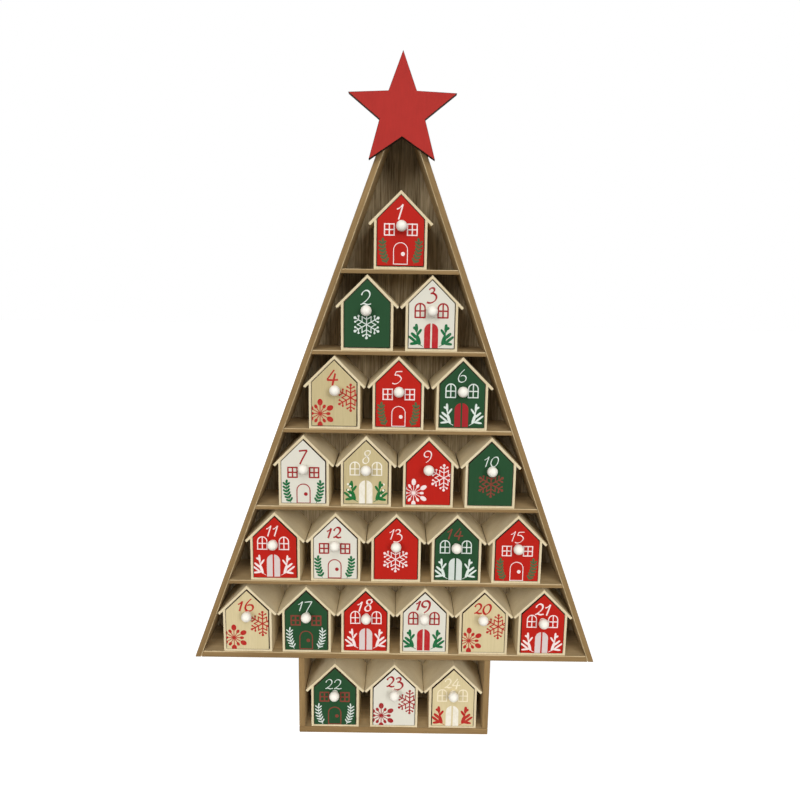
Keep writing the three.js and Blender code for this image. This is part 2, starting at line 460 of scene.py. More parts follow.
def front_paint(name, colour, mottle):
    return finished_material(name, MATT_PAINT, {"Paint": colour, "Mottle": mottle}, PAINT_BUMP)


def print_ink(name, ink, ground, thinness):
    values = {"Ink": ink, "Ground": ground, "Thinness": thinness}
    return finished_material(name, THIN_INK, values, INK_BUMP)


RED = srgb(186, 30, 18)
GREEN = srgb(34, 72, 42)
WHITE = srgb(222, 218, 203)
NATURAL = srgb(208, 192, 148)

UPRIGHT_WOODS = case_woods("upright", UPRIGHT)
LEVEL_WOODS = case_woods("level", LEVEL)
BACK_PLY = back_ply()
HIGHLIT_ARRIS = highlit_arris()
HOUSE_WOOD = pale_ply("house_ply", srgb(236, 222, 188), srgb(214, 194, 152))
TRAY_WOOD = pale_ply("tray_ply", srgb(232, 214, 176), srgb(206, 182, 138))
SCORCHED = scorched_edge()
STAR_PAINT = front_paint("star_paint", srgb(180, 47, 40), 0.2)
KNOB_PAINT = knob_paint()
FRONT_FINISH = {
    "red": front_paint("red_paint", RED, 0.16),
    "green": front_paint("green_paint", GREEN, 0.16),
    "white": front_paint("white_paint", WHITE, 0.05),
    "natural": pale_ply("natural_ply", srgb(221, 205, 162), srgb(204, 187, 142)),
    "dark_natural": pale_ply("dark_natural_ply", srgb(206, 190, 146), srgb(188, 171, 126)),
}
DARK_NATURAL_DOORS = (4, 8)
GROUND = {"red": RED, "green": GREEN, "white": WHITE, "natural": NATURAL}


# Cabinet

# Least share of a face's normal along a direction for the face to count as facing it
SAME_PLANE = 0.999
SQUARELY = 0.9
PARTLY = 0.2

SHELVES = ["tree_floor", "shelf_1", "shelf_2", "shelf_3", "shelf_4", "shelf_5"]
BACK_PANELS = ["tree_back_panel", "base_back_panel"]


def finish_case_board(board, woods, node, highlit_side=None):
    """A cabinet board: sawn edges to the front and back, a lighter copy of the stain on the other faces as
    painted light, and a painted highlight on one side's arrises.
    """
    sawn, painted_lit = woods
    flats = [face.normal.copy() for face in board.data.polygons]
    ease_arrises(board, CASE_ARRIS)
    finish_piece(board, [sawn, painted_lit, HIGHLIT_ARRIS], "case", "case_wood", node)
    for face in board.data.polygons:
        is_flat = max(face.normal.dot(flat) for flat in flats) > SAME_PLANE
        # Arrises on the side that faces the light take the lighter arris material: a painted highlight.
        is_highlit = highlit_side is not None and face.normal.dot(highlit_side) > PARTLY
        if is_flat:
            # Faces to the front and back take the sawn wood; every other flat face takes the lighter copy,
            # painted light on the faces inside the cabinet.
            face.material_index = 0 if abs(face.normal.y) > SQUARELY else 1
        else:
            face.material_index = 2 if is_highlit else 0


TO_TOP = Vector((0, 0, 1))
TO_RIGHT = Vector((1, 0, 0))
TO_LEFT = Vector((-1, 0, 0))


def dress_cabinet():
    low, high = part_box("side_board_left")
    lean = math.atan2(high.z - low.z, high.x - low.x)
    for side, turn, inward in (("left", lean, TO_RIGHT), ("right", -lean, TO_LEFT)):
        node = f"side_board_{side}"
        finish_case_board(board_from_frame(node), case_woods(side, turn), node, inward)
    for node in SHELVES:
        finish_case_board(board_from_frame(node), LEVEL_WOODS, node, TO_TOP)
    for node in BACK_PANELS:
        board = ease_arrises(board_from_frame(node), HOUSE_ARRIS)
        finish_piece(board, [BACK_PLY], "case", "back_ply", node)


def dress_base():
    """The three boards of the trunk base, which the frame holds as one solid."""
    low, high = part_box("base_frame")
    foot = low.z + BASE_BOTTOM
    bottom = square_board("base_bottom_board", low, (high.x, high.y, foot))
    left_side = square_board("base_left_board", (low.x, low.y, foot), (low.x + BASE_SIDE, high.y, high.z))
    right_side = square_board("base_right_board", (high.x - BASE_SIDE, low.y, foot), high)
    finish_case_board(bottom, LEVEL_WOODS, "base_frame")
    finish_case_board(left_side, UPRIGHT_WOODS, "base_frame")
    finish_case_board(right_side, UPRIGHT_WOODS, "base_frame")


def scorch_rim(board, width):
    """Cuts a narrow rim into the front face, where the saw has scorched the paint."""
    front_face(board).select = True
    bpy.ops.object.mode_set(mode="EDIT")
    bpy.ops.mesh.select_mode(type="FACE")
    bpy.ops.mesh.inset(thickness=width)
    leave_edit()
    return board


def front_face(board):
    """The largest face to the front. No face is left selected."""
    for face in board.data.polygons:
        face.select = False
    fronts = [face for face in board.data.polygons if face.normal.y < -SQUARELY]
    return max(fronts, key=lambda face: face.area)


def paint_front_only(board):
    """Front face in the first material, its rim and the edges in the second and the back in the third."""
    for face in board.data.polygons:
        face.material_index = 2 if face.normal.y > SQUARELY else 1
    front_face(board).material_index = 0


def dress_star():
    star = ease_arrises(board_from_frame("star_topper"), STAR_ARRIS)
    finish_piece(star, [STAR_PAINT, SCORCHED, TRAY_WOOD], "case", "star_red", "star_topper")
    paint_front_only(star)


# Houses and drawers, modelled once with the middle of the house's underside at the origin

BASE_DOORS = (22, 23, 24)
HOUSE_LOW, HOUSE_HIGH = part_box("house_01")
DRAWER_LOW, DRAWER_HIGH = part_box("drawer_01")
HOUSE_FOOT = Vector(((HOUSE_LOW.x + HOUSE_HIGH.x) / 2, 0, HOUSE_LOW.z))
FACE_Y = HOUSE_LOW.y - FRONT_PROUD
RIDGE = HOUSE_HIGH.z - HOUSE_LOW.z
RISE = math.tan(ROOF_PITCH)
WALL_HALF = HOUSE_WIDTH / 2
INNER_HALF = WALL_HALF - HOUSE_PLY
INNER_RIDGE = RIDGE - HOUSE_PLY / math.cos(ROOF_PITCH)

# Drawers that stand a little off the middle of their houses, in mm to the right
DRAWER_SHIFTS = {
    2: 0.1, 3: -0.15, 4: -0.15, 7: -0.25, 8: -0.1, 12: -0.15,
    16: 0.1, 19: -0.1, 23: 0.2, 24: 0.15,
}


def mirrored(outline):
    return [(-x, z) for x, z in reversed(outline)]


def build_house(node):
    """Five boards: the left roof board covers the end of the right one at the ridge."""
    low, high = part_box(node)
    eave = (high.x - low.x) / 2
    tip = RIDGE - eave * RISE
    across = HOUSE_PLY * math.sin(ROOF_PITCH)
    down = HOUSE_PLY * math.cos(ROOF_PITCH)
    left_roof = [(-eave, tip), (-eave + across, tip - down), (across, RIDGE - down), (0, RIDGE)]
    right_roof = [(0, INNER_RIDGE), (eave - across, tip - down), (eave, tip), (across, RIDGE - down)]
    right_wall = [
        (INNER_HALF, 0),
        (WALL_HALF, 0),
        (WALL_HALF, INNER_RIDGE - WALL_HALF * RISE),
        (INNER_HALF, INNER_RIDGE - INNER_HALF * RISE),
    ]
    floor = [(-INNER_HALF, 0), (INNER_HALF, 0), (INNER_HALF, HOUSE_PLY), (-INNER_HALF, HOUSE_PLY)]
    outlines = [left_roof, right_roof, right_wall, mirrored(right_wall), floor]
    boards = [saw_board("house_part", outline, low.y, high.y) for outline in outlines]
    for board in boards:
        ease_arrises(board, HOUSE_ARRIS)
    return join(boards, f"{node}_template")


def build_front():
    low = DRAWER_LOW - HOUSE_FOOT
    high = DRAWER_HIGH - HOUSE_FOOT
    shoulder = high.z - high.x * RISE
    outline = [(low.x, low.z), (high.x, low.z), (high.x, shoulder), (0, high.z), (low.x, shoulder)]
    front = saw_board("front_template", outline, FACE_Y, FACE_Y + FRONT_THICKNESS)
    return scorch_rim(ease_arrises(front, FRONT_ARRIS), FRONT_SCORCH)


def build_tray():
    """Open tray behind the front: a bottom, two sides and a back."""
    low = DRAWER_LOW - HOUSE_FOOT
    high = DRAWER_HIGH - HOUSE_FOOT
    rim = INNER_RIDGE - INNER_HALF * RISE - TRAY_BELOW_SHOULDER
    start = FACE_Y + FRONT_THICKNESS
    floor_top = low.z + TRAY_PLY
    inner_left = low.x + TRAY_PLY
    inner_right = high.x - TRAY_PLY
    boards = [
        square_board("tray_part", (low.x, start, low.z), (high.x, high.y, floor_top)),
        square_board("tray_part", (low.x, start, floor_top), (inner_left, high.y, rim)),
        square_board("tray_part", (inner_right, start, floor_top), (high.x, high.y, rim)),
        square_board("tray_part", (inner_left, high.y - TRAY_PLY, floor_top), (inner_right, high.y, rim)),
    ]
    for board in boards:
        ease_arrises(board, HOUSE_ARRIS)
    return join(boards, "tray_template")


def knob_place(drawer):
    """Where the frame holds a drawer's knob: the middle of all that stands in front of its neck."""
    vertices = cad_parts[drawer].data.vertices
    ball = [vertex.co for vertex in vertices if vertex.co.y < FACE_Y - KNOB_NECK_LENGTH]
    across = [place.x for place in ball]
    upward = [place.z for place in ball]
    return Vector(((min(across) + max(across)) / 2, 0, (min(upward) + max(upward)) / 2))


# The neck in three lengths from the ball, each with how much it widens on what came before it
KNOB_NECK = [(KNOB_NECK_LENGTH * 0.5, 0.88), (KNOB_NECK_LENGTH * 0.5, 1.22), (KNOB_TENON, 1.0)]
KNOB_SMOOTH_ANGLE = math.radians(40)


def build_knob():
    """A turned ball whose rear side is drawn out into a neck that sits in the front."""
    ball_centre = KNOB_NECK_LENGTH + math.sqrt(KNOB_RADIUS**2 - KNOB_NECK_RADIUS**2)
    neck_plane = FACE_Y - KNOB_NECK_LENGTH
    deselect_all()
    bpy.ops.mesh.primitive_uv_sphere_add(
        segments=KNOB_SEGMENTS,
        ring_count=KNOB_RINGS,
        radius=KNOB_RADIUS,
        location=(0, FACE_Y - ball_centre, 0),
        rotation=(math.radians(90), 0, 0),
    )
    bpy.ops.object.transform_apply(location=True, rotation=True, scale=True)
    knob = rename(bpy.context.object, "knob_template")
    edit_all(knob)
    bpy.ops.mesh.bisect(plane_co=(0, neck_plane, 0), plane_no=(0, 1, 0), clear_outer=True, use_fill=True)
    leave_edit()
    for face in knob.data.polygons:
        face.select = face.normal.y > 0.99 and abs(face.center.y - neck_plane) < KNOB_RADIUS * 0.01
    bpy.ops.object.mode_set(mode="EDIT")
    bpy.ops.mesh.select_mode(type="FACE")
    for reach, width in KNOB_NECK:
        bpy.ops.mesh.extrude_region_move(TRANSFORM_OT_translate={"value": (0, reach, 0)})
        bpy.ops.transform.resize(value=(width, 1, width))
    bpy.ops.mesh.select_all(action="SELECT")
    bpy.ops.mesh.normals_make_consistent(inside=False)
    leave_edit()
    bpy.ops.object.shade_smooth_by_angle(angle=KNOB_SMOOTH_ANGLE)
    return knob


# Printed strokes, drawn in millimetres from the middle of the house's underside

PEN_THIN = 0.75
PEN_THICK = 1.65
PEN_SLANT = math.radians(38)
PEN_STEPS = 7
DOT_STEPS = 10
PETAL_STEPS = 12
DOT_END_WIDTH = 0.001
PETAL_END_WIDTH = 0.02
LEAF_BLUNTNESS = 0.6
STROKE_WELD_REACH = 0.0005 * MM


def smooth_path(points, steps, closed=False):
    """A curve through the points, with a few steps between each two."""
    count = len(points)
    spans = count if closed else count - 1
    path = []
    for i in range(spans):
        around = []
        for j in (i - 1, i, i + 1, i + 2):
            index = j % count if closed else min(max(j, 0), count - 1)
            around.append(Vector(points[index]))
        a, b, c, d = around
        for step in range(steps):
            t = step / steps
            turn = (c - a) * t + (a * 2 - b * 5 + c * 4 - d) * t**2 + (b * 3 - a - c * 3 + d) * t**3
            path.append(b + turn / 2)
    if not closed:
        path.append(Vector(points[-1]))
    return path


class Print:
    """Collects the strokes of one printed motif, each as a flat strip that faces into the front."""

    def __init__(self, boldness=1.0):
        self.strokes = []
        self.boldness = boldness

    def band(self, one_side, other_side):
        """A strip between two edges, given as lists of points, with the first on the left of its way."""
        count = len(one_side)
        deselect_all()
        bpy.ops.mesh.primitive_grid_add(x_subdivisions=count - 1, y_subdivisions=1)
        strip = bpy.context.object
        coat = -(INK_COAT + INK_STEP * (len(self.strokes) % INK_STEPS))
        for edge, points in enumerate((one_side, other_side)):
            for i, (x, z) in enumerate(points):
                strip.data.vertices[i + edge * count].co = (x * MM, coat, z * MM)
        self.strokes.append(strip)
        return strip

    def stroke(self, path, widths, closed=False):
        """A strip of ink along a path, with its full width at each point."""
        path = [Vector(point) for point in path]
        if closed:
            path.append(path[0].copy())
            widths = [*widths, widths[0]]
        last = len(path) - 1
        sides = ([], [])
        for i, point in enumerate(path):
            before = path[i - 1] if i > 0 else (path[-2] if closed else path[0])
            after = path[i + 1] if i < last else (path[1] if closed else path[-1])
            along = (after - before).normalized()
            out = Vector((-along.y, along.x)) * widths[i] / 2
            sides[0].append(point + out)
            sides[1].append(point - out)
        strip = self.band(*sides)
        if closed:
            edit_all(strip)
            bpy.ops.mesh.remove_doubles(threshold=STROKE_WELD_REACH)
            leave_edit()

    def trace(self, path, width):
        """A line of one width, which is bolder in some inks than in others."""
        self.stroke(path, [width * self.boldness] * len(path))

    def line(self, start, end, width):
        self.trace([start, end], width)

    def pen(self, points, weight, closed=False):
        """A stroke of a broad pen: thin along the nib's own slant and thick across it."""
        thin = PEN_THIN * weight
        thick = PEN_THICK * weight
        path = smooth_path(points, PEN_STEPS, closed)
        widths = []
        for i in range(len(path)):
            step = path[min(i + 1, len(path) - 1)] - path[max(i - 1, 0)]
            across = abs(math.sin(math.atan2(step.y, step.x) - PEN_SLANT))
            widths.append(thin + (thick - thin) * across)
        self.stroke(path, widths, closed)

    def dot(self, centre, radius):
        path = []
        widths = []
        for i in range(DOT_STEPS + 1):
            angle = math.pi * i / DOT_STEPS
            path.append((centre[0] - radius * math.cos(angle), centre[1]))
            widths.append(2 * radius * math.sin(angle) + DOT_END_WIDTH)
        self.stroke(path, widths)

    def petal(self, start, end, width, bluntness=1.0):
        """An oval from one end to the other; the lower its bluntness, the fuller its ends."""
        start = Vector(start)
        end = Vector(end)
        path = []
        widths = []
        for i in range(PETAL_STEPS + 1):
            angle = math.pi * i / PETAL_STEPS
            path.append(start.lerp(end, (1 - math.cos(angle)) / 2))
            widths.append(max(width * abs(math.sin(angle)) ** bluntness, PETAL_END_WIDTH))
        self.stroke(path, widths)

    def leaf(self, start, end, width):
        """A slender leaf of nearly one width, rounded at both ends."""
        self.petal(start, end, width, LEAF_BLUNTNESS)

    def finish(self, name):
        return join(self.strokes, name)


# Numerals of an italic broad pen, in millimetres from each one's lower left corner, as strokes
# with their points and whether they close
NUMERALS = {
    0: [([(5.2, 10.8), (1.6, 8.6), (0, 4), (1.2, 0.8), (3.4, 0), (6.2, 2.2), (8, 6.8), (7.4, 9.8)], True)],
    1: [
        ([(3.3, 10.9), (1.7, 5.5), (0, 0)], False),
        ([(-1.3, 7.4), (0.3, 8.1), (1.9, 9.4), (3.3, 10.9)], False),
    ],
    2: [
        ([(0.6, 7.6), (1.6, 9.8), (4.2, 11.4), (6.6, 10.4), (7.2, 7.8), (5.8, 5), (3.2, 2.4), (0, 0)], False),
        ([(0, 0.3), (2.7, 1), (5.2, 0.2), (8.2, 0.8)], False),
    ],
    3: [
        ([(2.4, 12.6), (3.2, 14), (5, 14.7), (6.8, 14.2), (7.2, 12.4), (5.8, 10.4), (3.6, 9.3)], False),
        ([(3.6, 9.3), (6.6, 9.3), (9.2, 6.9), (9, 3.8), (6.6, 1.2), (3.1, 0), (0, 0.6)], False),
    ],
    4: [
        ([(5.9, 12.7), (3, 8.8), (0, 4.7)], False),
        ([(0, 4.6), (4, 4.4), (8.9, 4.8)], False),
        ([(6.6, 9.8), (5.4, 4.8), (4.2, 0)], False),
    ],
    5: [
        ([(3.8, 12.1), (6.5, 12.3), (9.6, 12.4)], False),
        ([(3.8, 12.1), (3, 10.2), (2.4, 8.8)], False),
        ([(2.4, 8.8), (5.8, 8.6), (8.4, 6.4), (8.4, 4.2), (6, 1.4), (2.8, 0.2), (0, 0.8)], False),
    ],
    6: [
        (
            [(6.4, 13.4), (3.4, 10.5), (1, 7), (0.2, 3.5), (1.2, 1), (3.8, 0.2), (6.8, 1.5), (8, 4.4),
             (6.8, 6.6), (4.2, 7), (2.2, 6.3)],
            False,
        ),
    ],
    7: [([(0, 13.3), (4, 13.9), (8.2, 14.1)], False), ([(8, 14), (4.2, 7), (0.8, 0)], False)],
    8: [
        (
            [(7.9, 12.6), (5.2, 13.2), (2.6, 12), (2.4, 9.4), (4.4, 7.2), (6, 5), (5.6, 1.8), (3, 0.2),
             (0.6, 1.4), (0.6, 4.2), (3, 6.6), (5.8, 8.6), (7.4, 10.6), (7.4, 12)],
            False,
        ),
    ],
    9: [
        (
            [(5.2, 7.6), (3.4, 6.8), (1.2, 7.4), (0, 9.6), (1.2, 12.6), (4.3, 14), (7.4, 12.8), (8.4, 9.6),
             (7.2, 5.1), (5, 2.2), (2.2, 0)],
            False,
        ),
    ],
}

# Where each door's numerals stand, as measured in the photograph: numeral, x, z and size
NUMBER_PLACES = {
    1: [(1, -2.2, 45.5, 1.25)],
    2: [(2, -6.1, 43.7, 1.19)],
    3: [(3, -5, 46.3, 0.96)],
    4: [(4, -6.9, 43, 1.22)],
    5: [(5, -6.1, 45.4, 1.0)],
    6: [(6, -4.5, 48, 0.95)],
    7: [(7, -4, 43.2, 1.0)],
    8: [(8, -3.3, 44.7, 1.0)],
    9: [(9, -4.6, 46.5, 0.85)],
    10: [(1, -5.6, 43.2, 0.95), (0, -0.5, 43.4, 0.92)],
    11: [(1, -6.9, 47.4, 1.03), (1, -0.2, 47.4, 1.03)],
    12: [(1, -7.2, 46.3, 0.96), (2, -1.9, 46.8, 0.96)],
    13: [(1, -5.6, 45.8, 0.99), (3, -2.8, 43.1, 0.91)],
    14: [(1, -8.7, 47, 1), (4, -3, 46, 1)],
    15: [(1, -5.9, 45.6, 0.98), (5, -2.9, 43.8, 0.95)],
    16: [(1, -7.7, 45.2, 1.01), (6, -1.7, 45.2, 1.02)],
    17: [(1, -6.9, 46.2, 0.98), (7, -1.4, 43.6, 0.93)],
    18: [(1, -6.8, 46.6, 1), (8, -0.8, 47.1, 0.97)],
    19: [(1, -7.9, 48.8, 0.96), (9, -2.9, 46.1, 0.95)],
    20: [(2, -10.2, 46.1, 0.95), (0, -1.1, 45.8, 0.97)],
    21: [(2, -8.5, 45.8, 1.04), (1, 3.1, 45.2, 1.1)],
    22: [(2, -9.9, 44.3, 0.95), (2, -0.9, 44.3, 0.95)],
    23: [(2, -8.1, 47.6, 0.99), (3, -0.3, 44.2, 0.95)],
    24: [(2, -9.4, 47.3, 0.9), (4, -1.3, 46, 0.93)],
}

# How bold the pen is: heavier in red than in white, and with doors of their own
RED_PEN = 1.42
WHITE_PEN = 0.78
OWN_PEN = {
    1: 1.12, 2: 0.9, 3: 1.25, 5: 0.7, 6: 0.66, 10: 0.7, 11: 0.95, 14: 1.05, 15: 0.66, 18: 1.15, 19: 1.55,
    21: 1.2, 22: 0.7, 24: 1.0,
}


def draw_number(door, ink):
    number = Print()
    weight = OWN_PEN.get(door, RED_PEN if ink == "red" else WHITE_PEN)
    for numeral, x, z, size in NUMBER_PLACES[door]:
        for points, closed in NUMERALS[numeral]:
            number.pen([(x + px * size, z + pz * size) for px, pz in points], weight, closed)
    return number.finish("number")


# Motifs, each on the middle line of the front unless it says a side

WINDOW_X = 10.7
LINE = 1.15
DOOR_LINE = 0.8


ARCH_STEPS = 12


def square_windows(motif):
    half = 4.5
    low = 31.3
    high = 41.4
    middle = (low + high) / 2
    for centre in (-WINDOW_X, WINDOW_X):
        for x in (centre - half, centre, centre + half):
            motif.line((x, low - LINE / 2), (x, high + LINE / 2), LINE)
        for z in (low, middle, high):
            motif.line((centre - half, z), (centre + half, z), LINE)


def arched(centre, half, low, spring):
    """An arch from its lower left to its lower right corner."""
    path = [(centre - half, low), (centre - half, spring)]
    for i in range(1, ARCH_STEPS):
        angle = math.pi - math.pi * i / ARCH_STEPS
        path.append((centre + half * math.cos(angle), spring + half * math.sin(angle)))
    return [*path, (centre + half, spring), (centre + half, low)]


def arched_windows(motif):
    half = 4.7
    low = 32.7
    bar = 38.9
    spring = 41.2
    farther = 0.2
    for centre in (-WINDOW_X - farther, WINDOW_X + farther):
        motif.trace(arched(centre, half, low, spring), LINE)
        motif.line((centre, low), (centre, spring + half), LINE)
        for z in (low, bar):
            motif.line((centre - half - LINE / 2, z), (centre + half + LINE / 2, z), LINE)


def outlined_door(motif):
    half = 6.5
    low = 4.8
    spring = 18
    handle = (2.3, 14.2)
    handle_radius = 1.9
    motif.trace(arched(0, half, low, spring), DOOR_LINE)
    motif.line((-half - DOOR_LINE / 2, low), (half + DOOR_LINE / 2, low), DOOR_LINE)
    motif.dot(handle, handle_radius)


def double_door(motif):
    """Two solid leaves under one arch, with a narrow gap between them."""
    half = 6.7
    low = 3.4
    spring = 20.6
    gap = 0.8
    for side in (-1, 1):
        arch = []
        foot = []
        for i in range(ARCH_STEPS + 1):
            x = gap + (half - gap) * (1 - (1 - i / ARCH_STEPS) ** 2)
            arch.append((side * x, spring + math.sqrt(max(half**2 - x**2, 0))))
            foot.append((side * x, low))
        motif.band(*(arch, foot)[::side])


FIR_STEM = [(12.5, 5), (13.2, 6.7), (14.5, 9.8), (15.7, 12.8), (16.5, 16.1), (17, 19.5), (17, 23), (17, 25)]
FIR_STEM_WIDTH = 0.6
FIR_TIP = (16.4, 28.9)
NEEDLE_ANGLE = math.radians(49)
NEEDLE_LENGTH = 4.6
FULL_NEEDLE = 1.65
FINE_NEEDLE = 1.35


def fir_sprigs(motif, needle_width):
    """A leaning stem with a pair of needles at each point between its ends, and its mirror image."""
    width = needle_width * motif.boldness
    for side in (-1, 1):
        stem = [Vector((side * x, z)) for x, z in FIR_STEM]
        path = smooth_path(stem, 3)
        motif.stroke(path, [FIR_STEM_WIDTH] * len(path))
        for before, spot, after in zip(stem, stem[1:], stem[2:]):
            along = (after - before).normalized()
            for hand in (-1, 1):
                out = Matrix.Rotation(hand * NEEDLE_ANGLE, 2) @ along
                motif.leaf(spot, spot + out * NEEDLE_LENGTH, width)
        motif.leaf(stem[-1], (side * FIR_TIP[0], FIR_TIP[1]), width * 1.1)


LEAFY_STEM = [(-7.6, 5), (-10.6, 7), (-12.6, 11), (-13.8, 19)]
LEAFY_STEM_WIDTH = 0.45
LEAFY_STEM_WIDENING = 0.04

# Each leaf's start, end and width
LEAVES = [
    ((-13.9, 18.8), (-14.3, 26.7), 2.4),
    ((-13.9, 21.4), (-17.3, 23.4), 2.2),
    ((-13.7, 15.4), (-9.3, 21.7), 2.0),
    ((-13, 12.6), (-19.2, 18.1), 2.4),
    ((-13.4, 8.4), (-21.6, 14.9), 2.1),
    ((-11.8, 8.5), (-20.3, 7.3), 2.2),
    ((-10.8, 6.6), (-13.7, 16), 3.1),
]
BERRIES = [(-17.6, 23.2), (-15.4, 20.9), (-17.5, 17.2), (-15, 11.8)]
BERRY_RADIUS = 1.15


def leafy_sprigs(motif):
    """A bent stem with seven leaves, and its mirror image."""
    for side in (-1, 1):
        stem = smooth_path(LEAFY_STEM, 5)
        widths = [LEAFY_STEM_WIDTH + LEAFY_STEM_WIDENING * i for i in range(len(stem))]
        motif.stroke([(-side * point.x, point.y) for point in stem], widths)
        for start, end, width in LEAVES:
            motif.leaf((-side * start[0], start[1]), (-side * end[0], end[1]), width * motif.boldness)


def berries(motif):
    for side in (-1, 1):
        for x, z in BERRIES:
            motif.dot((side * x, z), BERRY_RADIUS)


def crystal_flake(motif, centre):
    """Six arms, each with two pairs of branches; the inner pairs meet their neighbours' halfway."""
    centre = Vector(centre)
    arm_reach = 12
    arm_width = 0.95
    branch_width = 0.85
    inner_reach = 4.9
    inner_length = 4.9
    outer_reach = 8.8
    outer_length = 3.6

    def spoke(angle, reach):
        return centre + Vector((math.cos(angle), math.sin(angle))) * reach

    for i in range(6):
        angle = math.radians(30 + 60 * i)
        motif.line(centre, spoke(angle, arm_reach), arm_width)
        motif.dot(spoke(angle, 12.7), 1.35)
        for side in (-1, 1):
            branch = Matrix.Rotation(side * math.radians(60), 2) @ Vector((math.cos(angle), math.sin(angle)))
            inner = spoke(angle, inner_reach)
            outer = spoke(angle, outer_reach)
            motif.line(inner, inner + branch * inner_length, branch_width)
            motif.line(outer, outer + branch * outer_length, branch_width)
            motif.dot(outer + branch * 3.7, 1.0)
        motif.dot(spoke(angle + math.radians(30), 8.5), 0.75)


def petal_flake(motif, centre):
    """Six long rays that end in full petals, and six short ones between them."""
    centre = Vector(centre)
    heart_radius = 1.8
    ray_start = 1.2
    ray_width = 0.62
    long_petal = (7.9, 14.6, 4.5)
    short_petal = (5.9, 10.2, 2.7)
    for i in range(12):
        angle = math.radians(30 * i + 30)
        along = Vector((math.cos(angle), math.sin(angle)))
        start, end, width = long_petal if i % 2 == 0 else short_petal
        motif.line(centre + along * ray_start, centre + along * (start + 1), ray_width)
        motif.petal(centre + along * start, centre + along * end, width * (1 + motif.boldness) / 2)
    motif.dot(centre, heart_radius)


PRINT_MARGIN = 0.1 * MM


def trim_to_front(printed):
    """Cuts off what a flat print would reach past the front's edges."""
    inset = FRONT_ARRIS + PRINT_MARGIN
    low = DRAWER_LOW - HOUSE_FOOT
    high = DRAWER_HIGH - HOUSE_FOOT
    cuts = [
        ((low.x + inset, 0, 0), (-1, 0, 0)),
        ((high.x - inset, 0, 0), (1, 0, 0)),
        ((0, 0, low.z + inset), (0, 0, -1)),
    ]
    for place, outward in cuts:
        edit_all(printed)
        bpy.ops.mesh.bisect(plane_co=place, plane_no=outward, clear_outer=True)
        leave_edit()
    return printed


def give_thickness(printed):
    """Makes a flat print a thin coat that reaches a little way into the front."""
    make_active(printed)
    bpy.ops.object.modifier_add(type="SOLIDIFY")
    solidify = printed.modifiers[-1]
    solidify.thickness = INK_SUNK + INK_COAT
    solidify.offset = 1.0
    bpy.ops.object.modifier_apply(modifier=solidify.name)
    edit_all(printed)
    bpy.ops.mesh.normals_make_consistent(inside=False)
    leave_edit()
    return printed


CENTRE_FLAKE = (0, 25.2)
RIGHT_FLAKE = (15.4, 32)
LEFT_FLAKE = (-14.4, 16)

MOTIFS = {
    "square_windows": square_windows,
    "arched_windows": arched_windows,
    "outlined_door": outlined_door,
    "double_door": double_door,
    "full_fir_sprigs": lambda motif: fir_sprigs(motif, FULL_NEEDLE),
    "fine_fir_sprigs": lambda motif: fir_sprigs(motif, FINE_NEEDLE),
    "leafy_sprigs": leafy_sprigs,
    "berries": berries,
    "centre_flake": lambda motif: crystal_flake(motif, CENTRE_FLAKE),
    "right_flake": lambda motif: crystal_flake(motif, RIGHT_FLAKE),
    "left_flake": lambda motif: petal_flake(motif, LEFT_FLAKE),
}

# Red and green lines and leaves are printed bolder than white ones
BOLDNESS = {"red": 1.3, "green": 1.3, "white": 0.94}


def build_motif(kind, ink):
    motif = Print(BOLDNESS.get(ink, 1.0))
    MOTIFS[kind](motif)
    return motif.finish(f"{kind}_template")


# How far each door's motifs are printed to the right of and above their usual place, in mm, as
# measured in the photograph
PRINT_SHIFTS = {
    1: (0.1, 0), 2: (-0.5, -0.2), 3: (-0.25, -0.2), 4: (0.7, -0.7), 5: (0.4, -1.1), 6: (-0.5, 0.4),
    7: (0.1, -1.6), 8: (0, 0.3), 9: (0, -0.7), 10: (0.5, 0.2), 11: (-1.6, 0.9), 12: (-0.7, -1),
    13: (-0.5, -0.5), 14: (-1, -0.4), 15: (0, -1), 16: (0.5, -0.2), 17: (-0.3, -0.4), 18: (0.4, 0.9),
    19: (-0.8, 0.9), 20: (-0.5, 0), 21: (-0.7, -0.7), 22: (-0.3, -1.1), 23: (0.9, -1.7), 24: (-0.7, -0.7),
}


def square_front(ink, sprigs, sprigs_ink):
    """Square windows and an outlined door in one ink, with fir sprigs beside the door."""
    return [("square_windows", ink), ("outlined_door", ink), (sprigs, sprigs_ink)]


def arched_front(windows_ink, door_ink, sprigs_ink):
    """Arched windows and a double door, with leafy sprigs beside it."""
    return [("arched_windows", windows_ink), ("double_door", door_ink), ("leafy_sprigs", sprigs_ink)]


def two_flakes(ink):
    return [("left_flake", ink), ("right_flake", ink)]


# Each design by the first door that has it: its ground, the ink of its number, and its motifs' inks
DESIGNS = {
    1: ("red", "white", square_front("white", "full_fir_sprigs", "green")),
    2: ("green", "white", [("centre_flake", "white")]),
    3: ("white", "red", arched_front("red", "solid_red", "green")),
    4: ("natural", "red", two_flakes("red")),
    6: ("green", "white", arched_front("white", "solid_red", "white")),
    7: ("white", "red", square_front("red", "full_fir_sprigs", "green")),
    8: ("natural", "white", [*arched_front("white", "white", "green"), ("berries", "white")]),
    9: ("red", "white", two_flakes("white")),
    10: ("green", "white", [("centre_flake", "red")]),
    11: ("red", "white", arched_front("white", "solid_white", "white")),
    13: ("red", "white", [("centre_flake", "white")]),
    14: ("green", "red", arched_front("white", "solid_white", "white")),
    17: ("green", "white", square_front("red", "fine_fir_sprigs", "white")),
    23: ("white", "red", two_flakes("red")),
    24: ("natural", "faint_white", arched_front("faint_white", "white", "red")),
}
SAME_AS = {5: 1, 12: 7, 15: 1, 16: 4, 18: 11, 19: 3, 20: 4, 21: 11, 22: 17}

